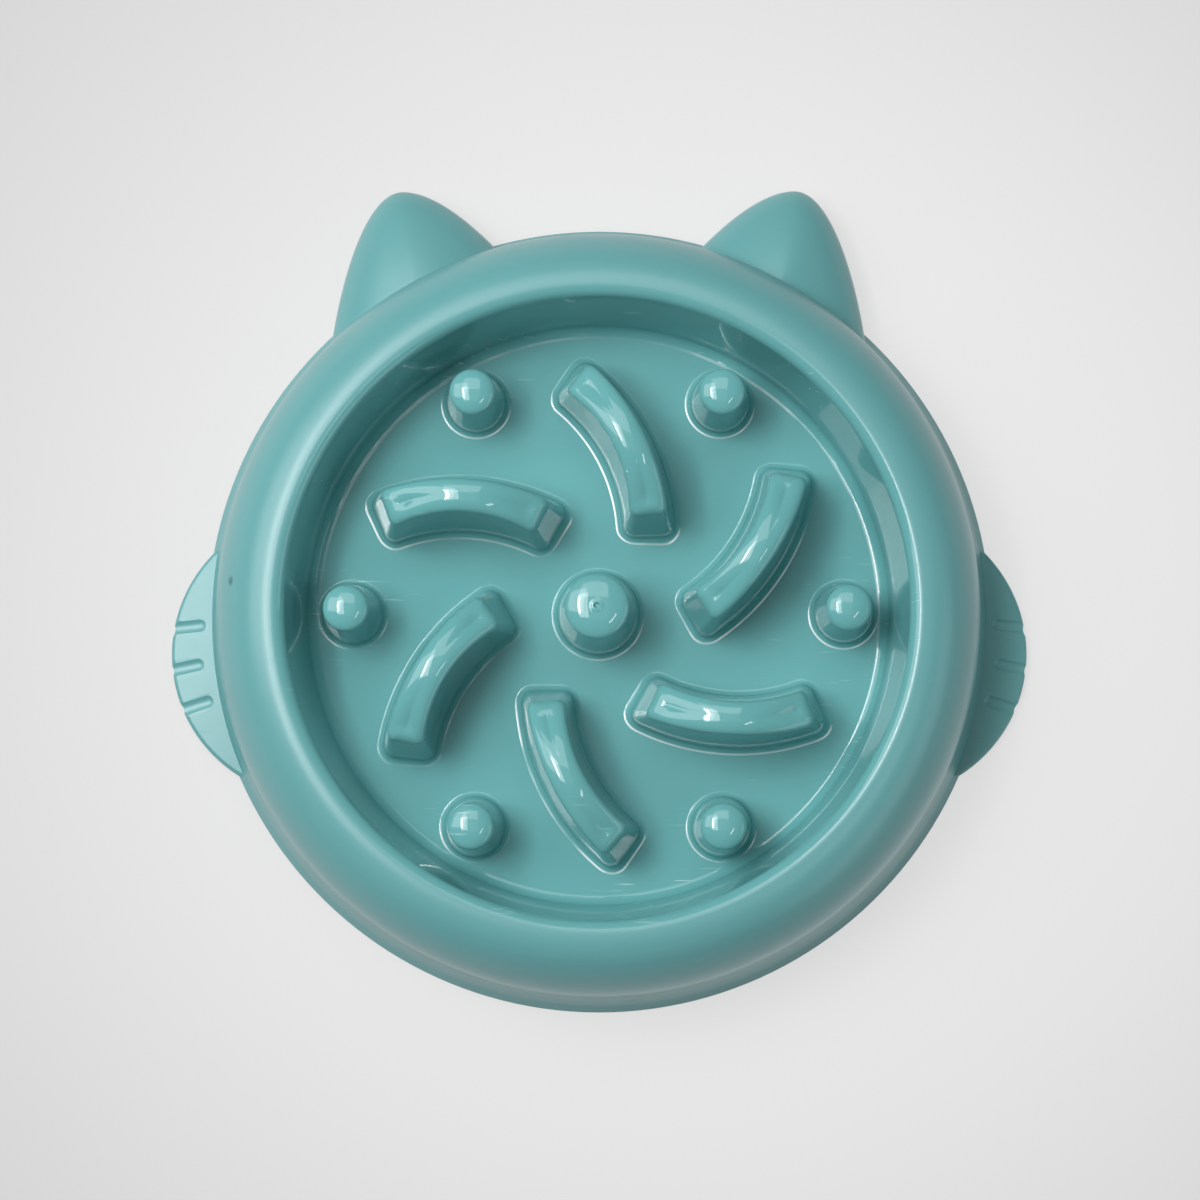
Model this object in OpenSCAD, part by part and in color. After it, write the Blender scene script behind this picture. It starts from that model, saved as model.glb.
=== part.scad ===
// Slow feeder bowl: one moulding shaped like a cat's head, on six rubber feet.
// The front of the bowl faces -Y, the ears point to +Y, and it stands on z = 0.

/* [Rim and skirt] */
// Radius of the skirt's bottom edge
base_r = 104; // [102:0.1:110]
// Distance by which the skirt flares out from its narrowest place to that edge
skirt_flare = 5; // [3:0.1:7]
// Height of that narrowest place, under the domed rim
waist_z = 20; // [16:0.5:26]
// Width of the domed rim, from the narrowest place in to its highest line
rim_w = 16.6; // [14:0.1:18]
// Height of the rim's highest line
crest_z = 44; // [38:0.5:52]
// Height of the skirt's edge over the table
edge_z = 1; // [0.5:0.1:2]
// Thickness of the moulding
wall = 2.4; // [1.6:0.1:2.8]

/* [Well] */
// Height of the well's floor over the table
floor_z = 14; // [12:0.5:16]
// Radius of the roll from the rim down into the well
roll_r = 3.4; // [3:0.1:5]
// Draft of the well's wall, in degrees
wall_draft = 7.6; // [5:0.1:12]
// Fillet between the well's wall and its floor
floor_fillet = 3; // [2:0.1:5]
// Fillet at the foot of each peg and ridge
root_fillet = 1.6; // [0.8:0.1:2]

/* [Pegs] */
// Number of pegs round the well
peg_count = 6; // [6:1:6]
// Distance of a peg's middle from the edge of the flat floor
peg_inset = 8.7; // [8.3:0.1:10.5]
// Radius of a peg at the floor
peg_base_r = 7.9; // [7:0.1:8.5]
// Radius of a peg where its domed top starts
peg_top_r = 5.9; // [5:0.1:6.5]
// Height of a peg over the floor
peg_h = 24; // [14:0.5:27]
// Height of the domed top of every peg
peg_crown_h = 2.5; // [1.5:0.1:3.5]
// Radius of the middle peg at the floor
hub_base_r = 10.8; // [9.5:0.1:12]
// Radius of the middle peg where its domed top starts
hub_top_r = 8.2; // [7:0.1:9.5]
// Height of the middle peg over the floor
hub_h = 29.5; // [20:0.5:30]
// Radius of the gate mark on the middle peg
gate_r = 0.7; // [0.4:0.1:1]
// Depth of the gate mark
gate_d = 0.5; // [0.3:0.1:0.8]

/* [Ridges] */
// Number of curved ridges in the pinwheel
ridge_count = 6; // [6:1:6]
// Radius of a ridge's curved middle line
ridge_arc_r = 52.4; // [50:0.1:58]
// Length of a ridge along that line, at the floor
ridge_l = 49.4; // [42:0.1:50]
// Width of a ridge at the floor
ridge_w = 14.2; // [13.5:0.1:14.8]
// Height of a ridge over the floor, at its middle
ridge_h = 29.5; // [20:0.5:30]
// Distance of a ridge's middle from the edge of the flat floor
ridge_inset = 28.7; // [28.3:0.1:29.2]
// Angle round the bowl of the first ridge's middle
ridge_ring_a = 80.1; // [78:0.1:83]
// Direction in which the first ridge bulges
ridge_turn = 27; // [24:0.1:30]
// Draft of a ridge's long sides, in degrees
ridge_side_draft = 6; // [4:0.1:6.5]
// Draft of a ridge's ends, in degrees
ridge_end_draft = 10.8; // [8:0.1:12]
// Rounding of a ridge's upright corners at the floor
ridge_corner_r = 3.5; // [2.5:0.1:4.5]
// Rounding of those corners at the height of the crown's edge
ridge_crown_corner_r = 1.5; // [0.8:0.1:2.2]
// Height of a ridge's rounded crown at its middle
ridge_crown_h = 2.1; // [1.5:0.1:3]
// Drop of the crown's edge from the middle of a ridge to its ends
ridge_edge_drop = 7; // [4:0.1:8]
// Drop of the crown's highest line from the middle to the ends
ridge_top_drop = 5.3; // [3:0.1:6]
// Length over which the crown rounds off at each end
ridge_tip_l = 4; // [2.5:0.1:5]

/* [Ears] */
// Length of an ear from the middle of its root to its tip
ear_l = 34.9; // [31:0.1:40]
// Width of an ear across its root
ear_w = 52; // [47:0.5:56]
// Distance of that middle inside the skirt's bottom edge
ear_inset = 12.4; // [10:0.1:14]
// Angle round the bowl of the ear's root, up from the cheeks, in degrees
ear_a = 59.85; // [57:0.05:62]
// Height of an ear's upright side
ear_side_z = 9; // [6:0.5:14]
// Height of an ear's top where it enters the rim
ear_top_z = 25; // [20:0.5:30]

/* [Cheeks] */
// Distance by which a cheek stands out past the skirt's bottom edge
cheek_out = 9.4; // [6:0.1:12]
// Radius of a cheek's outline
cheek_r = 38.3; // [35:0.1:41]
// Distance of the cheeks in front of the bowl's centre
cheek_y = 9.4; // [0:0.1:16]
// Height of a cheek's upright side over the skirt's edge
cheek_side_h = 1.4; // [0.6:0.1:2.4]
// Height to which a cheek's top slopes up at its middle, over the same edge
cheek_top_h = 4; // [3:0.1:7]
// Rounding of a cheek's outer edge
cheek_edge_r = 1.2; // [0.6:0.1:2]
// Radius of the shallow round grooves in a cheek
groove_r = 3.2; // [2:0.1:4.5]
// Depth of those grooves
groove_d = 0.5; // [0.3:0.1:1]
// Length of those grooves
groove_l = 7; // [5:0.5:9]
// Angle at which the grooves lean from the bowl's radius, in degrees
groove_slant = 5; // [0:0.5:12]

/* [Feet] */
// Number of rubber feet
foot_count = 6; // [6:1:6]
// Distance of a foot's middle from the edge of the flat floor
foot_inset = 6.8; // [6.3:0.1:8.8]
// Angle round the bowl of the first foot
foot_first_a = 17.5; // [16:0.5:19]
// Radius of a foot's pad
pad_r = 6.5; // [5.8:0.1:8]
// Height of a foot's pad
pad_h = 3.5; // [2.5:0.1:4]
// Rounding of the pad's lower edge
pad_edge_r = 0.8; // [0.3:0.1:1.2]
// Outer radius of the post that holds a foot
post_r = 5.5; // [5:0.1:5.8]
// Radius of the hole in that post
post_bore_r = 3.4; // [2.5:0.1:3.8]
// Length of a foot's stem
stem_l = 6; // [4:0.5:6.5]
// Clearance round the stem and over its end
stem_gap = 0.15; // [0.1:0.05:0.3]

/* [Hidden] */

$fn = 96;
// Steps in a quarter of a moulded round, and in a small one
round_steps = 6;
small_steps = 3;
// Depth by which cuts run past a face and bosses run into one
overrun = 1;

// The skirt where it is narrowest, and the rim's highest line
waist_r = base_r - skirt_flare;
crest_r = waist_r - rim_w;
// Well wall: the roll's centre, the floor fillet's centre, which is also the
// edge of the flat floor, and the circles that the pegs, ridges and feet are on
roll_z = crest_z - roll_r;
fillet_z = floor_z + floor_fillet;
fillet_x = crest_r
    - (sin(wall_draft) * (roll_z - fillet_z) + roll_r + floor_fillet) / cos(wall_draft);
peg_ring_r = fillet_x - peg_inset;
ridge_ring_r = fillet_x - ridge_inset;
foot_ring_r = fillet_x - foot_inset;
under_z = floor_z - wall;

// The middle of an ear's root, and the ears' reach behind the bowl's centre.
// The box of the whole object is centred on the origin
ear_root_x = (base_r - ear_inset) * cos(ear_a);
ear_root_y = (base_r - ear_inset) * sin(ear_a);
ear_reach = ear_root_y + ear_l;
bowl_y = (base_r - ear_reach) / 2;
// Skirt: the radius of the hollow curve from the waist to the bottom edge
skirt_drop = waist_z - edge_z;
skirt_r = (pow(skirt_drop, 2) + pow(skirt_flare, 2)) / (2 * skirt_flare);

// Height of the crown's edge over the floor at the middle of a ridge
ridge_edge_h = ridge_h - ridge_crown_h;
// Rings in a ridge's foot, in its crown and in the hollow's crown
ridge_foot_steps = 3;
ridge_crown_steps = 5;
ridge_core_steps = 3;
// Points round a ridge's corner and along its side
ridge_corner_steps = 3;
ridge_side_steps = 8;
// Where the rings of a crown end, in degrees of its quarter round
crown_end_a = 84;

// An ear's outline from its outer root over the tip to its inner root, as
// shares of its width and length: two curves of four control points each
ear_outer_shares = [[-0.5, -0.32], [-0.444, 0.35], [-0.306, 1], [-0.12, 1]];
ear_inner_shares = [[-0.12, 1], [0.03, 1], [0.237, 0.794], [0.5, 0.34]];
// Points along each of these curves, and rings in the ear's rounded top
ear_steps = 12;
ear_top_steps = 7;
// How much of the outline is left at the top of an ear's upright side
ear_side_share = 0.973;
// How the top closes: 1 makes a dome and 2 a tent with a crease to the tip
ear_top_power = 1.5;

cheek_x = base_r + cheek_out - cheek_r;
// Draft of a cheek's upright side, in degrees
cheek_side_draft = 4;
// Where a cheek's rounded edge starts, and the slope of the top inside it
cheek_round_x = cheek_r - cheek_edge_r - cheek_side_h * tan(cheek_side_draft);
cheek_slope = atan((cheek_top_h - cheek_side_h - cheek_edge_r) / cheek_round_x);
// How far round the cheek's outline its three grooves end, in degrees
cheek_groove_a = [9.8, -6.9, -23.2];
// Sides of a cheek's whole round, and of a groove's
cheek_sides = 128;
groove_sides = 64;

// A round from angle a0 to a1 of an ellipse, as points
function round_points(cx, cz, rx, rz, a0, a1, n = round_steps) =
    [for (i = [0:n]) let (a = a0 + (a1 - a0) * i / n) [cx + rx * cos(a), cz + rz * sin(a)]];

// A point on a curve of four control points
function bezier(p, t) =
    pow(1 - t, 3) * p[0] + 3 * pow(1 - t, 2) * t * p[1]
    + 3 * (1 - t) * pow(t, 2) * p[2] + pow(t, 3) * p[3];

// Triangles that join a stack of rings of n points each
function side_faces(rings, n) = [
    for (k = [0:rings - 2], i = [0:n - 1], half = [0, 1])
        let (j = (i + 1) % n, a = k * n, b = a + n)
        half == 0 ? [a + i, a + j, b + i] : [b + i, a + j, b + j]
];

// Triangles that close a ring whose points i and n - 1 - i face each other
function strip_faces(start, n) = [
    for (i = [0:n / 2 - 2], half = [0, 1])
        let (a = start + i, b = start + n - 1 - i)
        half == 0 ? [a, a + 1, b] : [a + 1, b - 1, b]
];

// Triangles that close a ring on one point
function fan_faces(start, n, top) = [for (i = [0:n - 1]) [start + i, start + (i + 1) % n, top]];

function turned_over(faces) = [for (f = faces) [f[2], f[1], f[0]]];

// The moulding's section outside (inset 0) or inside (inset of one wall)
function skirt_points(inset) =
    let (r = skirt_r + inset, a = asin(skirt_drop / r))
    round_points(waist_r + skirt_r, waist_z, r, r, 180 + a, 180);

function dome_points(inset) = round_points(
    crest_r, waist_z, waist_r - crest_r - inset, crest_z - waist_z - inset,
    0, 90, 2 * round_steps);

function roll_points(inset) = round_points(
    crest_r, roll_z, roll_r - inset, roll_r - inset, 90, 180 - wall_draft);

function floor_points(inset) = round_points(
    fillet_x, fillet_z, floor_fillet + inset, floor_fillet + inset, -wall_draft, -90);

function section_points(inset, bottom_z, top_z) = concat(
    [[0, bottom_z], [skirt_points(inset)[0][0], bottom_z]],
    skirt_points(inset), dome_points(inset), roll_points(inset), floor_points(inset),
    [[0, top_z]]);

module body_of_revolution() {
    rotate_extrude() polygon(section_points(0, edge_z, floor_z));
}

module underside_of_revolution() {
    rotate_extrude() polygon(section_points(wall, edge_z - overrun, under_z));
}

// The lean of a peg's side, from its foot to the start of its domed top
function peg_lean(foot_r, top_r, h) = atan((foot_r - top_r) / (h - peg_crown_h));

// A round peg with a fillet at its foot and a domed top
module peg(foot_r, top_r, h) {
    lean = peg_lean(foot_r, top_r, h);
    rotate_extrude() translate([0, floor_z]) polygon(concat(
        [[0, -wall / 2], [foot_r + root_fillet, -wall / 2]],
        round_points(foot_r + root_fillet, root_fillet, root_fillet, root_fillet,
            270, 180 + lean, small_steps),
        round_points(0, h - peg_crown_h, top_r, peg_crown_h, 0, 90)));
}

// The hollow under a peg, one wall inside it
module peg_core(foot_r, top_r, h) {
    lean = peg_lean(foot_r, top_r, h);
    low_r = foot_r - wall / cos(lean) + (wall + overrun) * tan(lean);
    high_r = foot_r - wall / cos(lean) - (h - wall) * tan(lean);
    translate([0, 0, under_z - overrun])
        cylinder(r1 = low_r, r2 = high_r, h = h + overrun);
}

module at_pegs() {
    for (i = [0:peg_count - 1])
        rotate(i * 360 / peg_count) translate([peg_ring_r, 0]) children();
}

// One side of a ridge's outline from end to end, of half length l, half width w
// and corner rounding c
function ridge_side(l, w, c) = concat(
    round_points(l - c, w - c, c, c, 0, 90, ridge_corner_steps),
    [for (i = [1:ridge_side_steps - 1]) [(l - c) * (1 - 2 * i / ridge_side_steps), w]],
    round_points(c - l, w - c, c, c, 90, 180, ridge_corner_steps));

// The outline at height z over the floor, moved outwards by the distance out
function ridge_outline(z, out) =
    let (l = ridge_l / 2 - z * tan(ridge_end_draft) + out)
    let (w = ridge_w / 2 - z * tan(ridge_side_draft) + out)
    let (share = max(z, 0) / ridge_edge_h)
    let (c = ridge_corner_r * (1 - share) + ridge_crown_corner_r * share + max(out, 0))
    let (up = ridge_side(l, w, c), n = len(up))
    [for (p = concat(up, [for (i = [n - 1:-1:0]) [up[i][0], -up[i][1]]])) [p[0], p[1], z]];

// A ring of points bent round the ridge's arc and set on the floor
function bent(ring) = [
    for (p = ring)
        let (r = ridge_arc_r + p[1], a = p[0] / ridge_arc_r * 180 / PI)
        [r * cos(a), r * sin(a), floor_z + p[2]]
];

function ridge_foot_rings() = [
    for (i = [0:ridge_foot_steps])
        let (a = i * 90 / ridge_foot_steps)
        bent(ridge_outline(root_fillet * (1 - cos(a)), root_fillet * (1 - sin(a))))
];

// The edge of the crown, which drops along the drafted sides towards the ends
function ridge_edge(out) =
    let (low = ridge_outline(0, out), high = ridge_outline(ridge_edge_h, out))
    [for (i = [0:len(low) - 1])
        let (along = high[i][0] / high[0][0])
        low[i] + (high[i] - low[i]) * (1 - ridge_edge_drop * pow(along, 2) / ridge_edge_h)];

// The rounded top of a ridge, or of the hollow one inset inside it
function ridge_crown_rings(inset, steps) =
    let (edge = ridge_edge(-inset), end = edge[0][0])
    [for (i = [0:steps])
        let (a = i * crown_end_a / steps)
        bent([for (p = edge)
            let (along = p[0] / end)
            let (rise = ridge_crown_h + (ridge_edge_drop - ridge_top_drop) * pow(along, 2))
            [p[0] - ridge_tip_l * along * (1 - cos(a)), p[1] * cos(a),
                p[2] - inset / 2 + (rise - inset / 2) * sin(a)]])];

module ridge_loft(rings) {
    n = len(rings[0]);
    polyhedron(
        points = [for (ring = rings, p = ring) p],
        faces = concat(
            side_faces(len(rings), n),
            turned_over(strip_faces(0, n)),
            strip_faces((len(rings) - 1) * n, n)));
}

module ridge() {
    low = [for (p = bent(ridge_outline(0, root_fillet))) [p[0], p[1], p[2] - wall / 2]];
    ridge_loft(concat([low], ridge_foot_rings(), ridge_crown_rings(0, ridge_crown_steps)));
}

// The hollow under a ridge, one wall inside it
module ridge_core() {
    low = bent(ridge_outline(-wall - overrun, -wall));
    ridge_loft(concat([low], ridge_crown_rings(wall, ridge_core_steps)));
}

module at_ridges() {
    for (i = [0:ridge_count - 1])
        rotate(i * 360 / ridge_count + ridge_ring_a)
            translate([ridge_ring_r, 0])
                rotate(ridge_turn - ridge_ring_a)
                    translate([-ridge_arc_r, 0])
                        children();
}

function ear_outline() = concat(
    [for (i = [0:ear_steps - 1]) bezier(ear_outer_shares, i / ear_steps)],
    [for (i = [0:ear_steps]) bezier(ear_inner_shares, i / ear_steps)]);

function ear_ring(s, z) =
    [for (p = ear_outline()) [s * p[0] * ear_w, s * p[1] * ear_l, z]];

// An ear: an upright side, then a rounded top that closes on one point
module ear_form(s, bottom_z, side_z, top_z) {
    rise = top_z - side_z;
    top_rings = [
        for (i = [0:ear_top_steps - 1])
            let (a = i * 90 / ear_top_steps)
            ear_ring(s * ear_side_share * pow(cos(a), ear_top_power), side_z + rise * sin(a))
    ];
    rings = concat([ear_ring(s, bottom_z)], top_rings);
    n = len(rings[0]);
    last = len(rings) * n;
    points = concat([for (ring = rings, p = ring) p], [[0, 0, top_z], [0, 0, bottom_z]]);
    polyhedron(points = points, faces = concat(
        side_faces(len(rings), n),
        fan_faces(last - n, n, last),
        turned_over(fan_faces(0, n, last + 1))));
}

module at_ears() {
    for (side = [0, 1])
        mirror([side, 0, 0]) translate([-ear_root_x, ear_root_y]) children();
}

module ear() {
    ear_form(1, edge_z, ear_side_z, ear_top_z);
}

module ear_core() {
    ear_form(1 - 2 * wall / ear_w, edge_z - overrun, ear_side_z - wall / 2, ear_top_z - wall);
}

// A cheek's section over the skirt's edge: an upright side, a rounded edge and
// a top that slopes up to the skirt
function cheek_points() = concat(
    [[0, 0], [cheek_r, 0]],
    round_points(cheek_round_x, cheek_side_h, cheek_edge_r, cheek_edge_r,
        0, 90 - cheek_slope, small_steps),
    [[0, cheek_top_h]]);

module at_cheeks() {
    for (side = [0, 1])
        mirror([side, 0, 0]) translate([cheek_x, -cheek_y, edge_z]) children();
}

// A round-ended groove along the cheek's top that runs on down its side
module cheek_groove(a) {
    end_x = cheek_r * cos(a);
    end_y = cheek_r * sin(a);
    fan = atan2(end_y - cheek_y, end_x + cheek_x) - groove_slant;
    top_h = cheek_top_h - cheek_r * tan(cheek_slope);
    axis_out = groove_r - groove_d;
    translate([end_x, end_y, top_h + axis_out])
        rotate([0, 0, fan]) rotate([0, cheek_slope - 90, 0]) {
            translate([0, 0, -overrun]) cylinder(r = groove_r, h = groove_l + overrun);
            translate([0, 0, groove_l]) sphere(r = groove_r);
        }
    translate([end_x, end_y, -overrun]) rotate([0, 0, fan])
        translate([axis_out, 0]) cylinder(r = groove_r, h = top_h + overrun);
}

module cheek() {
    $fn = groove_sides;
    difference() {
        rotate_extrude($fn = cheek_sides) polygon(cheek_points());
        for (a = cheek_groove_a) cheek_groove(a);
    }
}

module at_foot(i) {
    rotate(foot_first_a + i * 360 / foot_count) translate([foot_ring_r, 0]) children();
}

// A tubular post under the floor that a foot's stem is pressed into
module foot_post() {
    difference() {
        translate([0, 0, pad_h]) cylinder(r = post_r, h = under_z - pad_h + wall / 2);
        translate([0, 0, pad_h - overrun])
            cylinder(r = post_bore_r, h = stem_l + stem_gap + overrun);
    }
}

module bowl() {
    color("#6fa9a8") translate([0, bowl_y]) {
        difference() {
            union() {
                body_of_revolution();
                at_pegs() peg(peg_base_r, peg_top_r, peg_h);
                peg(hub_base_r, hub_top_r, hub_h);
                at_ridges() ridge();
                at_ears() ear();
                at_cheeks() cheek();
            }
            underside_of_revolution();
            at_pegs() peg_core(peg_base_r, peg_top_r, peg_h);
            peg_core(hub_base_r, hub_top_r, hub_h);
            at_ridges() ridge_core();
            at_ears() ear_core();
            translate([0, 0, floor_z + hub_h - gate_d]) cylinder(r = gate_r, h = gate_d + overrun);
        }
        for (i = [0:foot_count - 1]) at_foot(i) foot_post();
    }
}

// A rubber foot: a pad with a rounded lower edge and a stem
module foot(i) {
    color("#2e3436") translate([0, bowl_y]) at_foot(i) {
        rotate_extrude() polygon(concat(
            [[0, 0]],
            round_points(pad_r - pad_edge_r, pad_edge_r, pad_edge_r, pad_edge_r,
                -90, 0, small_steps),
            [[pad_r, pad_h], [post_bore_r - stem_gap, pad_h],
                [post_bore_r - stem_gap, pad_h + stem_l], [0, pad_h + stem_l]]));
    }
}

module right_foot() { foot(0); }
module rear_right_foot() { foot(1); }
module rear_left_foot() { foot(2); }
module left_foot() { foot(3); }
module front_left_foot() { foot(4); }
module front_right_foot() { foot(5); }

bowl();
right_foot();
rear_right_foot();
rear_left_foot();
left_foot();
front_left_foot();
front_right_foot();
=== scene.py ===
from math import atan, atan2, cos, pi, radians, sin, sqrt, tan

import bmesh
import bpy
from mathutils import Matrix, Vector


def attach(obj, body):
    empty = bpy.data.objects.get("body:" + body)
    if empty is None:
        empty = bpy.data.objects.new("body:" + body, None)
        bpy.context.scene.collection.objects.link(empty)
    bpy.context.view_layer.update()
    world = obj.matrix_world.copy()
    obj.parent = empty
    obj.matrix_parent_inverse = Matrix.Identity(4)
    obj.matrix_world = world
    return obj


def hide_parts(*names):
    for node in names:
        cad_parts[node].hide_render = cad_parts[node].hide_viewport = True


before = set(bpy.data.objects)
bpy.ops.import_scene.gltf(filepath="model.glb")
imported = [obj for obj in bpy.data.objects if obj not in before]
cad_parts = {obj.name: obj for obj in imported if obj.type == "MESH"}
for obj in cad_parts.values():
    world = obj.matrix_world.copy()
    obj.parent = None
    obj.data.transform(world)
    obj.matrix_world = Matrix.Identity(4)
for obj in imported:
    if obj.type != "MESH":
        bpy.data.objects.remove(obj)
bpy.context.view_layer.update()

# Studio: the camera looks almost straight down on the bowl, which stands on a
# pale sheet. A tube in a strip and a broad soft panel light it from the left,
# and weaker panels from the rear, from above and from the front right.

bowl_y = -0.00505
well_floor_z = 0.014

camera_at = Vector((0.00839, bowl_y - 0.06175, well_floor_z + 0.8))
camera_target = Vector((0.00047, bowl_y + 0.00379, well_floor_z))
camera_sensor = 36
camera_lens = 92.01
camera_nearest = 0.01
world_colour = (1.0, 1.0, 1.0, 1)
world_strength = 0.03

camera = bpy.data.objects.new("camera", bpy.data.cameras.new("camera"))
camera.data.sensor_width = camera_sensor
camera.data.lens = camera_lens
camera.data.clip_start = camera_nearest
bpy.context.scene.collection.objects.link(camera)
bpy.context.scene.camera = camera
back = (camera_at - camera_target).normalized()
right = Vector((0, 1, 0)).cross(back).normalized()
up = back.cross(right)
camera.matrix_world = Matrix.Translation(camera_at) @ Matrix((right, up, back)).transposed().to_4x4()

bpy.context.scene.view_settings.view_transform = "Standard"


def softbox(name, at, width, height, turn, strength):
    """A rectangular lamp that faces the bowl; strength is its radiance."""
    lamp = bpy.data.lights.new(name, "AREA")
    lamp.shape = "RECTANGLE"
    lamp.size = width
    lamp.size_y = height
    lamp.energy = strength * width * height * pi
    holder = bpy.data.objects.new(name, lamp)
    bpy.context.scene.collection.objects.link(holder)
    facing = (Vector(at) - Vector((0, 0, well_floor_z))).normalized()
    side = Vector((0, 1, 0)).cross(facing).normalized()
    turned = Matrix((side, facing.cross(side), facing)).transposed().to_4x4()
    holder.matrix_world = Matrix.Translation(at) @ turned @ Matrix.Rotation(radians(turn), 4, "Z")


softbox("key_tube", (-0.46, 0.1, 1.05), 0.09, 0.45, 4, 17)
softbox("key_strip", (-0.355, 0.09, 1.05), 0.3, 0.6, 4, 6)
softbox("left_panel", (-0.725, 0.264, 0.933), 0.95, 0.73, 0, 3.5)
softbox("rear_panel", (-0.1, 0.56, 1.04), 0.8, 0.6, 0, 2.5)
softbox("overhead_panel", (0, 0, 1.2), 0.56, 0.56, 0, 0.4)
softbox("low_right_panel", (1.01, -0.47, 0.46), 0.5, 1.3, 0, 1.3)
softbox("front_strip", (0.42, -0.26, 1.05), 0.06, 0.32, -32, 9)

world = bpy.data.worlds.new("studio")
bpy.context.scene.world = world
world.use_nodes = True
background = world.node_tree.nodes["Background"]
background.inputs["Color"].default_value = world_colour
background.inputs["Strength"].default_value = world_strength

# The sheet of paper that the bowl stands on. Its colour is painted paler in the middle and darker towards
# the edges, a painted pool of light, and its own light evens out the studio's, so only a soft shadow
# stays.

sheet_half = 3.0
sheet_gap = 0.00005
paper_white = 0.81
paper_edge = 0.62
paper_roughness = 0.9
paper_gloss = 0.1
light_pool_middle = (0.03, 0, 0)
paper_white_r = 0.08
paper_edge_r = 0.32
paper_own_light = 0.8


def new_object(name, bm):
    """Turns a finished bmesh into an object that stands at the origin."""
    mesh = bpy.data.meshes.new(name)
    bm.to_mesh(mesh)
    bm.free()
    made = bpy.data.objects.new(name, mesh)
    bpy.context.scene.collection.objects.link(made)
    return made


def new_material(name):
    """A node material, given with its tree and its shader."""
    made = bpy.data.materials.new(name)
    made.use_nodes = True
    return made, made.node_tree, made.node_tree.nodes["Principled BSDF"]


def add(tree, kind, inputs=None, **settings):
    """Adds a node. An input is linked from an output, or takes a plain number or colour."""
    node = tree.nodes.new(kind)
    for name, value in settings.items():
        setattr(node, name, value)
    for name, value in (inputs or {}).items():
        if isinstance(value, bpy.types.NodeSocket):
            tree.links.new(value, node.inputs[name])
        else:
            node.inputs[name].default_value = value
    return node


def math_of(tree, operation, *values):
    """One step of arithmetic on outputs and plain numbers."""
    node = add(tree, "ShaderNodeMath", dict(enumerate(values)), operation=operation)
    return node.outputs["Value"]


def measure_of(tree, operation, *values):
    """One step of vector arithmetic that gives a number."""
    node = add(tree, "ShaderNodeVectorMath", dict(enumerate(values)), operation=operation)
    return node.outputs["Value"]


def graded(tree, value, start, end, low=0, high=1, **settings):
    """Grades a value from low, where it is at start, to high, where it is at end."""
    span = {"Value": value, "From Min": start, "From Max": end, "To Min": low, "To Max": high}
    return add(tree, "ShaderNodeMapRange", span, **settings).outputs["Result"]


bm = bmesh.new()
lower = Matrix.Translation((0, 0, -sheet_gap))
bmesh.ops.create_grid(bm, x_segments=1, y_segments=1, size=sheet_half, matrix=lower)
sheet = new_object("paper_sheet", bm)

paper, tree, shader = new_material("pale_paper")
shader.inputs["Roughness"].default_value = paper_roughness
shader.inputs["Specular IOR Level"].default_value = paper_gloss
coords = add(tree, "ShaderNodeTexCoord")
# Painted pool of light: the paper's colour grades from pale in the middle to darker at the edges.
reach = measure_of(tree, "DISTANCE", coords.outputs["Object"], light_pool_middle)
painted_light_pool = graded(
    tree, reach, paper_white_r, paper_edge_r, paper_white, paper_edge, interpolation_type="SMOOTHSTEP")
tree.links.new(painted_light_pool, shader.inputs["Base Color"])
glow = add(tree, "ShaderNodeEmission", {"Color": painted_light_pool})
ray = add(tree, "ShaderNodeLightPath")
seen = math_of(tree, "MAXIMUM", ray.outputs["Is Camera Ray"], ray.outputs["Is Glossy Ray"])
glow_share = math_of(tree, "MULTIPLY", seen, paper_own_light)
surface = add(tree, "ShaderNodeMixShader", {
    "Fac": glow_share, 1: shader.outputs["BSDF"], 2: glow.outputs["Emission"]})
tree.links.new(surface.outputs["Shader"], tree.nodes["Material Output"].inputs["Surface"])
sheet.data.materials.append(paper)

# The bowl's body: the wide domed rim, the flared skirt and the round well are
# one turned form of the mould. Its outside and its hollow underside are spun
# here as two solids; the second is cut from the first when all is joined.

wall = 0.0024
edge_z = 0.001
base_r = 0.104
waist_r = 0.099
waist_z = 0.020
crest_r = 0.0824
crest_z = 0.044
roll_r = 0.0034
wall_draft = radians(7.6)
floor_fillet = 0.003
skirt_edge_r = 0.0006

turn_steps = 180
skirt_steps = 12
dome_steps = 40
roll_steps = 18
fillet_steps = 12
skirt_edge_steps = 4
first_above_edge = 4
weld = 2e-7

roll_z = crest_z - roll_r
fillet_z = well_floor_z + floor_fillet
fillet_x = crest_r - (sin(wall_draft) * (roll_z - fillet_z) + roll_r + floor_fillet) / cos(wall_draft)
skirt_drop = waist_z - edge_z
skirt_r = (skirt_drop ** 2 + (base_r - waist_r) ** 2) / (2 * (base_r - waist_r))


def arc(x, z, rx, rz, start, end, steps):
    """Points on a round of the mould, from one angle to the other, in radians."""
    angles = [start + (end - start) * i / steps for i in range(steps + 1)]
    return [(x + rx * cos(a), z + rz * sin(a)) for a in angles]


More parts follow.
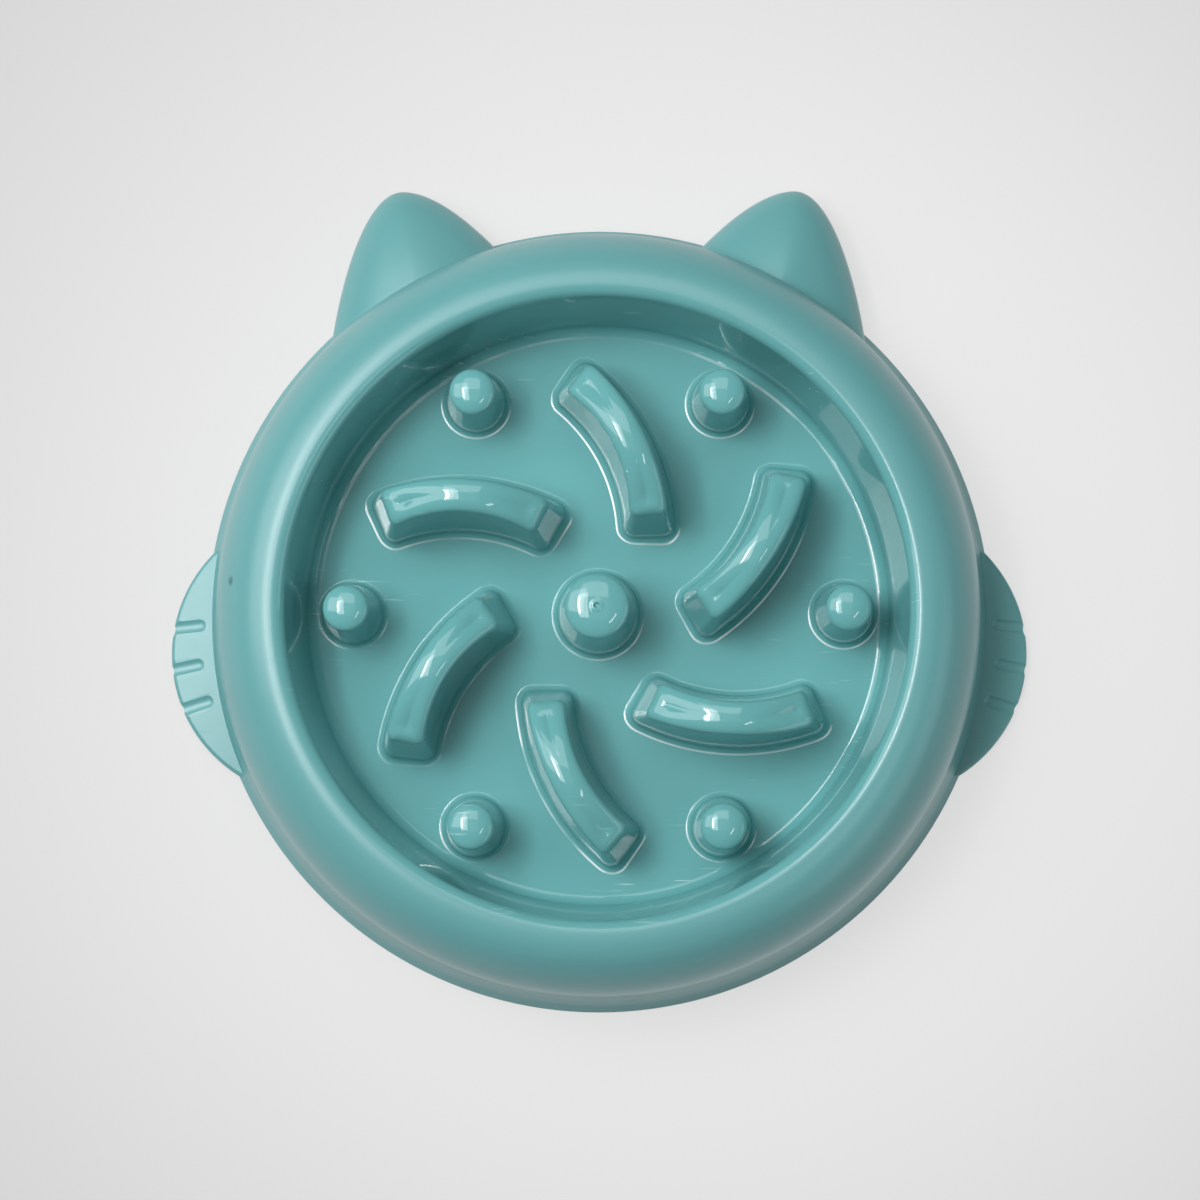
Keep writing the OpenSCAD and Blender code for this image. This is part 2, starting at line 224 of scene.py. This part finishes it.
def section(inset, bottom_z, top_z):
    """The moulding's section from the axis round the skirt, rim and well to the axis."""
    side_r = skirt_r + inset
    low_a = atan(skirt_drop / sqrt(side_r * side_r - skirt_drop ** 2))
    skirt = arc(waist_r + skirt_r, waist_z, side_r, side_r, pi + low_a, pi, skirt_steps)
    dome_w = waist_r - crest_r - inset
    dome = arc(crest_r, waist_z, dome_w, crest_z - waist_z - inset, 0, pi / 2, dome_steps)
    roll = arc(crest_r, roll_z, roll_r - inset, roll_r - inset, pi / 2, pi - wall_draft, roll_steps)
    round_r = floor_fillet + inset
    fillet = arc(fillet_x, fillet_z, round_r, round_r, -wall_draft, -pi / 2, fillet_steps)
    foot = [(0, bottom_z), (skirt[0][0], bottom_z)]
    return foot + skirt + dome[1:] + roll[1:] + fillet + [(0, top_z)]


def spin_profile(bm, points, steps, at=(0, 0)):
    """Spins a profile that starts and ends on the axis into a closed solid."""
    verts = [bm.verts.new((x + at[0], at[1], z)) for x, z in points]
    edges = [bm.edges.new(pair) for pair in zip(verts, verts[1:])]
    bmesh.ops.spin(
        bm, geom=verts + edges, cent=(at[0], at[1], 0), axis=(0, 0, 1),
        angle=2 * pi, steps=steps, use_merge=True)


def closed(bm):
    """Merges the poles and turns every face outwards."""
    bmesh.ops.remove_doubles(bm, verts=bm.verts, dist=weld)
    bmesh.ops.recalc_face_normals(bm, faces=bm.faces)
    return bm


# The skirt's round lower edge takes the place of the section's lowest points.
outside = section(0, edge_z, well_floor_z)
edge_x = outside[1][0] - skirt_edge_r
edge_round = arc(
    edge_x, edge_z + skirt_edge_r, skirt_edge_r, skirt_edge_r, -pi / 2, 0, skirt_edge_steps)
outside = [outside[0]] + edge_round + outside[first_above_edge:]
bm = bmesh.new()
spin_profile(bm, outside, turn_steps, (0, bowl_y))
bowl = new_object("bowl_moulding", closed(bm))

bm = bmesh.new()
spin_profile(bm, section(wall, edge_z - wall, well_floor_z - wall), turn_steps, (0, bowl_y))
underside = new_object("underside", closed(bm))

# Six pegs in a ring and a thicker one in the middle stand up from the well's
# floor. Each is a drafted cone with a fillet at its foot and a domed top, and
# the middle one carries the dimple where the plastic was let into the mould.

peg_ring_r = fillet_x - 0.0087
peg_foot_r = 0.0079
peg_top_r = 0.0059
peg_h = 0.024
peg_crown_h = 0.0025
hub_foot_r = 0.0108
hub_top_r = 0.0082
hub_h = 0.0295
root_fillet = 0.0016
root_sink = 0.005
gate_r = 0.0007
gate_d = 0.0005
gate_edge_w = 0.0001
gate_floor_share = 0.8
gate_lip_r = 0.0012
gate_lip_w = 0.0003
gate_lip_h = 0.0001

peg_steps = 64
hub_steps = 72
hollow_steps = 48
root_steps = 10
peg_crown_steps = 24


def peg_lean(foot_r, top_r, h):
    """The draft of a peg's side, up to the edge of its domed top."""
    return atan((foot_r - top_r) / (h - peg_crown_h))


def peg_profile(foot_r, top_r, h, top=()):
    """A peg's half section; top replaces the middle of its domed end."""
    lean = peg_lean(foot_r, top_r, h)
    root_x = foot_r + root_fillet
    low = [(0, -wall / 2), (root_x, -wall / 2)]
    root_z = root_fillet * (1 - root_sink)
    fillet = arc(root_x, root_z, root_fillet, root_fillet, 1.5 * pi, pi + lean, root_steps)
    crown = arc(0, h - peg_crown_h, top_r, peg_crown_h, 0, pi / 2, peg_crown_steps)
    if top:
        crown = [p for p in crown if p[0] > top[0][0]]
    return [(x, z + well_floor_z) for x, z in low + fillet + crown + list(top)]


def peg_hollow(foot_r, top_r, h):
    """The cone that is left free inside a peg, one wall in from its outside."""
    lean = peg_lean(foot_r, top_r, h)
    low_r = foot_r - wall / cos(lean) + 2 * wall * tan(lean)
    high_r = foot_r - wall / cos(lean) - (h - wall) * tan(lean)
    points = [(0, -2 * wall), (low_r, -2 * wall), (high_r, h - wall), (0, h - wall)]
    return [(x, z + well_floor_z) for x, z in points]


hub_dimple = [
    (gate_lip_r + gate_lip_w, hub_h),
    (gate_lip_r, hub_h + gate_lip_h),
    (gate_r + gate_edge_w, hub_h + gate_lip_h),
    (gate_r, hub_h - gate_d / 3),
    (gate_r * gate_floor_share, hub_h - gate_d),
    (0, hub_h - gate_d),
]
peg_angles = [radians(a) for a in range(0, 360, 60)]
peg_places = [(peg_ring_r * cos(a), peg_ring_r * sin(a) + bowl_y) for a in peg_angles]
bm = bmesh.new()
for at in peg_places:
    spin_profile(bm, peg_profile(peg_foot_r, peg_top_r, peg_h), peg_steps, at)
spin_profile(bm, peg_profile(hub_foot_r, hub_top_r, hub_h, hub_dimple), hub_steps, (0, bowl_y))
pegs = new_object("pegs", closed(bm))

bm = bmesh.new()
for at in peg_places:
    spin_profile(bm, peg_hollow(peg_foot_r, peg_top_r, peg_h), hollow_steps, at)
spin_profile(bm, peg_hollow(hub_foot_r, hub_top_r, hub_h), hollow_steps, (0, bowl_y))
peg_hollows = new_object("peg_hollows", closed(bm))

# Six curved ridges form a pinwheel between the pegs. Each is bent along an
# arc, drafted on all sides and filleted at its foot. Its crown is rounded
# across, arches down towards both ends and rolls over there.

ridge_arc_r = 0.0524
ridge_l = 0.0494
ridge_w = 0.0142
ridge_h = 0.0295
ridge_ring_r = fillet_x - 0.0287
ridge_ring_a = radians(80.1)
ridge_angles = [ridge_ring_a + i * pi / 3 for i in range(6)]
ridge_turn = radians(27)
ridge_side_draft = radians(6)
ridge_end_draft = radians(10.8)
ridge_corner_r = 0.0035
ridge_crown_corner_r = 0.0015
ridge_crown_h = 0.0021
ridge_edge_drop = 0.007
ridge_top_drop = 0.0053
ridge_tip_l = 0.004
ridge_edge_h = ridge_h - ridge_crown_h

ridge_corner_steps = 6
ridge_side_steps = 28
ridge_root_steps = 8
ridge_crown_steps = 16
ridge_hollow_steps = 6
ridge_crown_spread = 0.9


def ridge_outline(z, out):
    """The outline at one height over the floor: a rounded rectangle, still straight."""
    half_l = ridge_l / 2 - z * tan(ridge_end_draft) + out
    half_w = ridge_w / 2 - z * tan(ridge_side_draft) + out
    share = max(z, 0) / ridge_edge_h
    corner_r = ridge_corner_r * (1 - share) + ridge_crown_corner_r * share + max(out, 0)
    x, y = half_l - corner_r, half_w - corner_r
    side = arc(x, y, corner_r, corner_r, 0, pi / 2, ridge_corner_steps)
    side += [(x * (1 - 2 * i / ridge_side_steps), half_w) for i in range(1, ridge_side_steps)]
    side += arc(-x, y, corner_r, corner_r, pi / 2, pi, ridge_corner_steps)
    return [Vector((u, v, z)) for u, v in side + [(u, -v) for u, v in reversed(side)]]


def bent(ring):
    """Bends a straight ring round the ridge's arc and stands it on the floor."""
    points = []
    for p in ring:
        r = ridge_arc_r + p.y
        a = p.x / ridge_arc_r
        points.append(Vector((r * cos(a), r * sin(a), p.z + well_floor_z)))
    return points


def ridge_root():
    """The low rings that form the fillet, from the floor up to the drafted side."""
    rings = [[Vector((p.x, p.y, -wall / 2)) for p in ridge_outline(0, root_fillet)]]
    for i in range(ridge_root_steps + 1):
        a = pi / 2 * i / ridge_root_steps
        ring = ridge_outline(root_fillet * (1 - cos(a)), root_fillet * (1 - sin(a)))
        rings.append([p - Vector((0, 0, root_sink * root_fillet)) for p in ring])
    return rings


def ridge_crown(inset, steps):
    """The rings of the crown, from its arched edge to the line where they close."""
    low, high = ridge_outline(0, -inset), ridge_outline(ridge_edge_h, -inset)
    edge = [
        p.lerp(q, 1 - ridge_edge_drop * (q.x / high[0].x) ** 2 / ridge_edge_h) for p, q in zip(low, high)
    ]
    rings = []
    for i in range(steps + 1):
        a = pi / 2 * (i / steps) ** ridge_crown_spread
        ring = []
        for p in edge:
            along = p.x / edge[0].x
            rise = ridge_crown_h + (ridge_edge_drop - ridge_top_drop) * along ** 2
            x = p.x - ridge_tip_l * along * (1 - cos(a))
            ring.append(Vector((x, p.y * max(cos(a), 0), p.z - inset / 2 + (rise - inset / 2) * sin(a))))
        rings.append(ring)
    return rings


def loft(bm, rings):
    """Closes the first ring and draws every further ring out of the one before."""
    verts = [bm.verts.new(p) for p in rings[0]]
    edges = [bm.edges.new(pair) for pair in zip(verts, verts[1:] + verts[:1])]
    bm.faces.new(verts)
    made = list(verts)
    for ring in rings[1:]:
        drawn = bmesh.ops.extrude_edge_only(bm, edges=edges)["geom"]
        fresh = {g for g in drawn if isinstance(g, bmesh.types.BMVert)}
        verts = [next(e.other_vert(v) for e in v.link_edges if e.other_vert(v) in fresh) for v in verts]
        for vert, place in zip(verts, ring):
            vert.co = place
        edges = [bm.edges.get(pair) for pair in zip(verts, verts[1:] + verts[:1])]
        made += verts
    return made


def all_ridges(name, rings):
    """Lofts one ridge six times and sets each in its place in the pinwheel."""
    bm = bmesh.new()
    own_turn = Matrix.Rotation(ridge_turn - ridge_ring_a, 4, "Z")
    for angle in ridge_angles:
        ring_turn = Matrix.Rotation(angle, 4, "Z")
        place = (
            Matrix.Translation((0, bowl_y, 0)) @ ring_turn @ Matrix.Translation((ridge_ring_r, 0, 0))
            @ own_turn @ Matrix.Translation((-ridge_arc_r, 0, 0)))
        verts = loft(bm, [bent(ring) for ring in rings])
        bmesh.ops.transform(bm, matrix=place, verts=verts)
    return new_object(name, closed(bm))


ridges = all_ridges("ridges", ridge_root() + ridge_crown(0, ridge_crown_steps))
ridge_hollows = all_ridges(
    "ridge_hollows", [ridge_outline(-2 * wall, -wall)] + ridge_crown(wall, ridge_hollow_steps))

# The ears stand out from the skirt behind the rim: smooth pointed lobes with
# an almost upright side and a domed top that dips under the rim. They are
# hollow from below, like the rest of the moulding.

ear_l = 0.0349
ear_w = 0.052
ear_a = radians(59.85)
ear_root = Vector((cos(ear_a), sin(ear_a))) * (base_r - 0.0124)
ear_at = Vector((-ear_root.x, ear_root.y + bowl_y, 0))
ear_side_z = 0.009
ear_top_z = 0.025
ear_side_share = 0.973
ear_top_power = 1.5
ear_outer = [(-0.5, -0.32), (-0.444, 0.35), (-0.306, 1), (-0.12, 1)]
ear_inner = [(-0.12, 1), (0.03, 1), (0.237, 0.794), (0.5, 0.34)]
ear_edge_steps = 28
ear_top_steps = 20


def bezier(p, t):
    """The point at share t of a curve that four points draw."""
    weights = ((1 - t) ** 3, 3 * (1 - t) ** 2 * t, 3 * (1 - t) * t * t, t ** 3)
    return tuple(sum(w * q[k] for w, q in zip(weights, p)) for k in (0, 1))


def ear_ring(scale, z):
    """The ear's outline, from the skirt over the tip and back to the skirt."""
    outline = [bezier(ear_outer, i / ear_edge_steps) for i in range(ear_edge_steps)]
    outline += [bezier(ear_inner, i / ear_edge_steps) for i in range(ear_edge_steps + 1)]
    return [Vector((x * ear_w * scale, y * ear_l * scale, z)) for x, y in outline]


def both_sides(bm):
    """Mirrors what stands on one side of the bowl to the other side."""
    whole = bm.verts[:] + bm.edges[:] + bm.faces[:]
    bmesh.ops.mirror(bm, geom=whole, matrix=Matrix.Identity(4), merge_dist=-1, axis="X")
    return bm


def both_ears(name, scale, low_z, side_z, top_z):
    """Lofts the left ear from its foot to its domed top and mirrors it to the right."""
    rings = [ear_ring(scale, low_z), ear_ring(scale * (1 + ear_side_share) / 2, (low_z + side_z) / 2)]
    for i in range(ear_top_steps + 1):
        a = pi / 2 * i / ear_top_steps
        share = ear_side_share * max(cos(a), 0) ** ear_top_power
        rings.append(ear_ring(scale * share, side_z + (top_z - side_z) * sin(a)))
    bm = bmesh.new()
    bmesh.ops.translate(bm, vec=ear_at, verts=loft(bm, rings))
    return new_object(name, closed(both_sides(bm)))


ears = both_ears("ears", 1, edge_z, ear_side_z, ear_top_z)
ear_hollows = both_ears(
    "ear_hollows", 1 - 2 * wall / ear_w, edge_z - wall, ear_side_z - wall / 2, ear_top_z - wall)

# A low round cheek stands out from the skirt's foot on each side, one wall
# thick, with a rounded edge. Three shallow grooves with round inner ends run
# over its top and down its side.

cheek_r = 0.0383
cheek_x = base_r + 0.0094 - cheek_r
cheek_y = 0.0094
cheek_side_h = 0.0014
cheek_side_draft = radians(4)
cheek_top_h = 0.004
cheek_edge_r = 0.0012
groove_r = 0.0032
groove_d = 0.0005
groove_l = 0.007
groove_slant = radians(5)
groove_angles = (9.8, -6.9, -23.2)

cheek_steps = 160
cheek_edge_steps = 10
groove_steps = 64
groove_end_steps = 32
near_equator = 1e-6

cheek_round_x = cheek_r - cheek_edge_r - cheek_side_h * tan(cheek_side_draft)
cheek_slope = atan((cheek_top_h - cheek_side_h - cheek_edge_r) / cheek_round_x)
cheek_edge_top_h = cheek_top_h - cheek_r * tan(cheek_slope)

edge = arc(
    cheek_round_x, cheek_side_h, cheek_edge_r, cheek_edge_r, 0, pi / 2 - cheek_slope, cheek_edge_steps)
cheek_profile = [(0, 0), (cheek_r, 0)] + edge + [(0, cheek_top_h)]
bm = bmesh.new()
spin_profile(bm, [(x, z + edge_z) for x, z in cheek_profile], cheek_steps, (-cheek_x, bowl_y - cheek_y))
cheeks = new_object("cheeks", closed(both_sides(bm)))

groove_top = bmesh.new()
groove_end = bmesh.new()
for a in groove_angles:
    end = Vector((cheek_x, bowl_y - cheek_y, edge_z))
    end += Vector((cos(radians(a)), sin(radians(a)), 0)) * cheek_r
    fan = atan2(end.y - bowl_y, end.x) - groove_slant
    out = Vector((cos(fan), sin(fan), 0))
    slope = Vector((0, 0, sin(cheek_slope))) - out * cos(cheek_slope)
    bit = bmesh.ops.create_uvsphere(
        groove_top, u_segments=groove_steps, v_segments=groove_end_steps, radius=groove_r)["verts"]
    lower_half = [v for v in bit if v.co.z < near_equator]
    bmesh.ops.translate(groove_top, vec=(0, 0, -2 * groove_l), verts=lower_half)
    lie = slope.to_track_quat("Z", "Y").to_matrix().to_4x4()
    start = end + Vector((0, 0, cheek_edge_top_h + groove_r - groove_d))
    bmesh.ops.transform(groove_top, matrix=Matrix.Translation(start + slope * groove_l) @ lie, verts=bit)
    stand = Matrix.Translation(end + out * (groove_r - groove_d))
    bmesh.ops.create_cone(
        groove_end, cap_ends=True, segments=groove_steps, radius1=groove_r, radius2=groove_r,
        depth=4 * cheek_side_h, matrix=stand)
groove_bits = [new_object("groove_bits", closed(both_sides(bm))) for bm in (groove_top, groove_end)]

# Under the floor the mould also forms six tubular posts, which hold the feet.
# With them the moulding is complete: all its solids become one skin.

foot_ring_r = fillet_x - 0.0068
foot_angles = [radians(17.5 + 60 * i) for i in range(6)]
post_r = 0.0055
post_bore_r = 0.0034
post_low_z = 0.0035
post_bore_z = 0.00965
post_steps = 48
sharp_edge = radians(38)
even_shading = 80

bm = bmesh.new()
post_profile = [
    (0, post_bore_z), (post_bore_r, post_bore_z), (post_bore_r, post_low_z),
    (post_r, post_low_z), (post_r, well_floor_z - wall / 2), (0, well_floor_z - wall / 2),
]
for a in foot_angles:
    spin_profile(bm, post_profile, post_steps, (foot_ring_r * cos(a), foot_ring_r * sin(a) + bowl_y))
posts = new_object("posts", closed(bm))

joins = [
    (cheeks, "UNION"), (groove_bits[0], "DIFFERENCE"), (groove_bits[1], "DIFFERENCE"), (ears, "UNION"),
    (pegs, "UNION"), (ridges, "UNION"), (underside, "DIFFERENCE"), (peg_hollows, "DIFFERENCE"),
    (ridge_hollows, "DIFFERENCE"), (ear_hollows, "DIFFERENCE"), (posts, "UNION"),
]
for solid, operation in joins:
    join = bowl.modifiers.new(solid.name, "BOOLEAN")
    join.solver = "MANIFOLD"
    join.operation = operation
    join.object = solid
joined = bpy.data.meshes.new_from_object(bowl.evaluated_get(bpy.context.evaluated_depsgraph_get()))
bowl.modifiers.clear()
bowl.data = joined
for solid, operation in joins:
    bpy.data.objects.remove(solid)
joined.name = "bowl_moulding"
joined.shade_smooth()
joined.set_sharp_from_angle(angle=sharp_edge)
even = bowl.modifiers.new("even_shading", "WEIGHTED_NORMAL")
even.keep_sharp = True
even.weight = even_shading
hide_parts("bowl")
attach(bowl, "root")

# Finish: one mass-coloured teal plastic, satin on the rim and outside and
# polished in the well, with faint flow marks, fine scratches and a few specks.

scratch_turn = (0, 0, radians(35))
scratch_stretch = (1, 22, 6)
scratch_detail = 2
scratch_span = (0.66, 0.72)
patch_scale = 38
patch_detail = 3
patch_span = (0.52, 0.66)
dust_scale = 130
dust_r = 0.035
dust_rarity = 0.94
cloud_scale = 26
cloud_detail = 4
cloud_roughness = 0.55

plastic_ior = 1.49
plastic_colour = (0.128, 0.375, 0.383, 1)
plastic_pale = (0.142, 0.398, 0.406, 1)
# Painted shade: the colour outside the well is multiplied by this, so it is darker and greyer than in the
# well.
outside_painted_shade = (0.96, 0.915, 0.92, 1)
speck_colour = (0.45, 0.62, 0.62, 1)
plastic_scratch_scale = 60
satin_from = 0.0002
polish_from = 0.0022


def marks_group():
    """Handling marks that plastic and rubber share: scratches, dust and cloudiness."""
    tree = bpy.data.node_groups.new("handling_marks", "ShaderNodeTree")
    tree.interface.new_socket("Vector", in_out="INPUT", socket_type="NodeSocketVector")
    tree.interface.new_socket("Scratch Scale", in_out="INPUT", socket_type="NodeSocketFloat")
    for name in ("Scratches", "Dust", "Clouds"):
        tree.interface.new_socket(name, in_out="OUTPUT", socket_type="NodeSocketFloat")
    given = add(tree, "NodeGroupInput")
    place = given.outputs["Vector"]

    stretch = add(tree, "ShaderNodeMapping", {
        "Vector": place, "Rotation": scratch_turn, "Scale": scratch_stretch})
    lines = add(tree, "ShaderNodeTexNoise", {
        "Vector": stretch.outputs["Vector"], "Scale": given.outputs["Scratch Scale"],
        "Detail": scratch_detail})
    patch = add(tree, "ShaderNodeTexNoise", {
        "Vector": place, "Scale": patch_scale, "Detail": patch_detail})
    thin = graded(tree, lines.outputs["Fac"], *scratch_span)
    where = graded(tree, patch.outputs["Fac"], *patch_span)

    cells = add(tree, "ShaderNodeTexVoronoi", {"Vector": place, "Scale": dust_scale})
    draw = add(tree, "ShaderNodeSeparateColor", {"Color": cells.outputs["Color"]})
    near = math_of(tree, "LESS_THAN", cells.outputs["Distance"], dust_r)
    rare = math_of(tree, "GREATER_THAN", draw.outputs["Red"], dust_rarity)

    clouds = add(tree, "ShaderNodeTexNoise", {
        "Vector": place, "Scale": cloud_scale, "Detail": cloud_detail, "Roughness": cloud_roughness})
    add(tree, "NodeGroupOutput", {
        "Scratches": math_of(tree, "MULTIPLY", thin, where),
        "Dust": math_of(tree, "MULTIPLY", near, rare),
        "Clouds": clouds.outputs["Fac"]})
    return tree


def vector_of(tree, operation, *values):
    """One step of vector arithmetic that gives a vector."""
    node = add(tree, "ShaderNodeVectorMath", dict(enumerate(values)), operation=operation)
    return node.outputs["Vector"]


def laid_over(tree, mask, under, over, **settings):
    """Lays one colour over another where the mask is."""
    colours = {"Factor": mask, "A": under, "B": over}
    return add(tree, "ShaderNodeMix", colours, data_type="RGBA", **settings).outputs["Result"]


handling_marks = marks_group()

plastic, tree, shader = new_material("teal_plastic")
shader.inputs["IOR"].default_value = plastic_ior
coords = add(tree, "ShaderNodeTexCoord")
centred = add(tree, "ShaderNodeMapping", {
    "Vector": coords.outputs["Object"], "Location": (0, -bowl_y, 0)}).outputs["Vector"]
marks = add(tree, "ShaderNodeGroup", {
    "Vector": centred, "Scratch Scale": plastic_scratch_scale}, node_tree=handling_marks)

flat = vector_of(tree, "MULTIPLY", centred, (1, 1, 0))
radius = measure_of(tree, "LENGTH", flat)
in_well = graded(
    tree, radius, crest_r - satin_from, crest_r - polish_from, interpolation_type="SMOOTHSTEP")
outer = math_of(tree, "SUBTRACT", 1, in_well)

body_colour = laid_over(tree, marks.outputs["Clouds"], plastic_colour, plastic_pale)
# Painted shade: the outside is made darker and greyer than the well.
body_colour = laid_over(tree, outer, body_colour, outside_painted_shade, blend_type="MULTIPLY")
body_colour = laid_over(tree, marks.outputs["Dust"], body_colour, speck_colour)

# A thin pale line is painted round the foot of each peg and ridge. It is a painted highlight of the small
# fillet there: strongest where the fillet faces the front, patchy along its length and weaker along the
# well's wall. The floor is scratched near the wall, and the rim has one small dark spot.

# Painted highlight line: its pale colour and the masks that place it on the fillets.
highlight_line_colour = (0.82, 0.9, 0.9, 1)
highlight_line_low = (well_floor_z + 0.000003, well_floor_z + 0.000012)
highlight_line_high = (well_floor_z + 0.00016, well_floor_z + 0.0001)
level_span = (0.5, 0.7)
highlight_facing_way = (-0.14, -0.99, 0)
highlight_facing_span = (-0.1, 0.3)
highlight_sideways_span = (0.2, 0.6)
highlight_sideways_least = 0.5
patchy_span = (0.41, 0.53)
patchy_least = 0.12
wall_highlight_span = (fillet_x - 0.0006, fillet_x - 0.0001)
floor_highlight = 0.9
wall_highlight = 0.4
scratch_colour = (0.42, 0.64, 0.64, 1)
scratched_span = (0.04, 0.062)
spot_colour = (0.05, 0.17, 0.175, 1)
spot_at = (-0.0933, 0.0068, 0.0378)
spot_span = (0.0015, 0.0005)

height = add(tree, "ShaderNodeSeparateXYZ", {"Vector": centred}).outputs["Z"]
turned_up = add(tree, "ShaderNodeSeparateXYZ", {"Vector": coords.outputs["Normal"]}).outputs["Z"]
leaning = vector_of(tree, "MULTIPLY", coords.outputs["Normal"], (1, 1, 0))
facing = vector_of(tree, "NORMALIZE", leaning)
toward = measure_of(tree, "DOT_PRODUCT", facing, highlight_facing_way)
sideways = add(tree, "ShaderNodeSeparateXYZ", {"Vector": facing}).outputs["X"]
highlight_line_masks = (
    graded(tree, height, *highlight_line_high),
    graded(tree, turned_up, *level_span),
    graded(tree, toward, *highlight_facing_span),
    graded(tree, math_of(tree, "ABSOLUTE", sideways), *highlight_sideways_span, highlight_sideways_least),
    graded(tree, marks.outputs["Clouds"], *patchy_span, patchy_least),
    graded(tree, radius, *wall_highlight_span, floor_highlight, wall_highlight),
)
# Painted highlight: pale colour only in the fillets just above the floor, where they turn partly up and
# face the front.
painted_highlight_line = graded(tree, height, *highlight_line_low)
for mask in highlight_line_masks:
    painted_highlight_line = math_of(tree, "MULTIPLY", painted_highlight_line, mask)

near_wall = graded(tree, radius, *scratched_span)
scraped = math_of(tree, "MULTIPLY", marks.outputs["Scratches"], near_wall)
scraped = math_of(tree, "MULTIPLY", scraped, in_well)
spot = graded(tree, measure_of(tree, "DISTANCE", centred, spot_at), *spot_span)

for mask, colour in ((scraped, scratch_colour), (painted_highlight_line, highlight_line_colour), (spot, spot_colour)):
    body_colour = laid_over(tree, mask, body_colour, colour)
tree.links.new(body_colour, shader.inputs["Base Color"])

# The polish of the mould is seen in the well and its fine grain outside it.
# Both are a little uneven where the plastic flowed, and duller on scratches.

satin = 0.3
polish = 0.02
cloudy_part = 0.015
scratched_part = 0.12
grain_scale = 2600
grain_detail = 1
flow_part = 14
relief_share = 0.25
relief_h = 0.00002

roughness = graded(tree, in_well, 0, 1, satin, polish)
roughness = math_of(tree, "MULTIPLY_ADD", marks.outputs["Clouds"], cloudy_part, roughness)
roughness = math_of(tree, "MULTIPLY_ADD", marks.outputs["Scratches"], scratched_part, roughness)
tree.links.new(roughness, shader.inputs["Roughness"])

grain = add(tree, "ShaderNodeTexNoise", {
    "Vector": centred, "Scale": grain_scale, "Detail": grain_detail}).outputs["Fac"]
grain = math_of(tree, "MULTIPLY", grain, outer)
ripples = math_of(tree, "MULTIPLY_ADD", marks.outputs["Clouds"], flow_part, grain)
relief = add(tree, "ShaderNodeBump", {
    "Strength": relief_share, "Distance": relief_h, "Height": ripples})
tree.links.new(relief.outputs["Normal"], shader.inputs["Normal"])
joined.materials.clear()
joined.materials.append(plastic)

# Six rubber feet keep the bowl from sliding. Each is a pad with a stem pressed
# into its post; the solids already have their shape, so they only get a matt
# dark rubber with a fine grain, paler and duller in clouds.

feet = (
    "right_foot", "rear_right_foot", "rear_left_foot", "left_foot", "front_left_foot", "front_right_foot")
rubber_ior = 1.5
rubber_colour = (0.024, 0.03, 0.032, 1)
rubber_pale = (0.05, 0.056, 0.058, 1)
rubber_dark_roughness = 0.55
rubber_pale_roughness = 0.8
rubber_grain_scale = 1800
rubber_relief_share = 0.4
rubber_relief_h = 0.00005

rubber, tree, shader = new_material("dark_rubber")
shader.inputs["IOR"].default_value = rubber_ior
place = add(tree, "ShaderNodeTexCoord").outputs["Object"]
marks = add(tree, "ShaderNodeGroup", {"Vector": place}, node_tree=handling_marks)
body_colour = laid_over(tree, marks.outputs["Clouds"], rubber_colour, rubber_pale)
tree.links.new(body_colour, shader.inputs["Base Color"])
worn = graded(tree, marks.outputs["Clouds"], 0, 1, rubber_dark_roughness, rubber_pale_roughness)
tree.links.new(worn, shader.inputs["Roughness"])
grain = add(tree, "ShaderNodeTexNoise", {"Vector": place, "Scale": rubber_grain_scale})
relief = add(tree, "ShaderNodeBump", {
    "Strength": rubber_relief_share, "Distance": rubber_relief_h, "Height": grain.outputs["Fac"]})
tree.links.new(relief.outputs["Normal"], shader.inputs["Normal"])

for name in feet:
    foot = bpy.data.objects[name]
    foot.data.materials.clear()
    foot.data.materials.append(rubber)
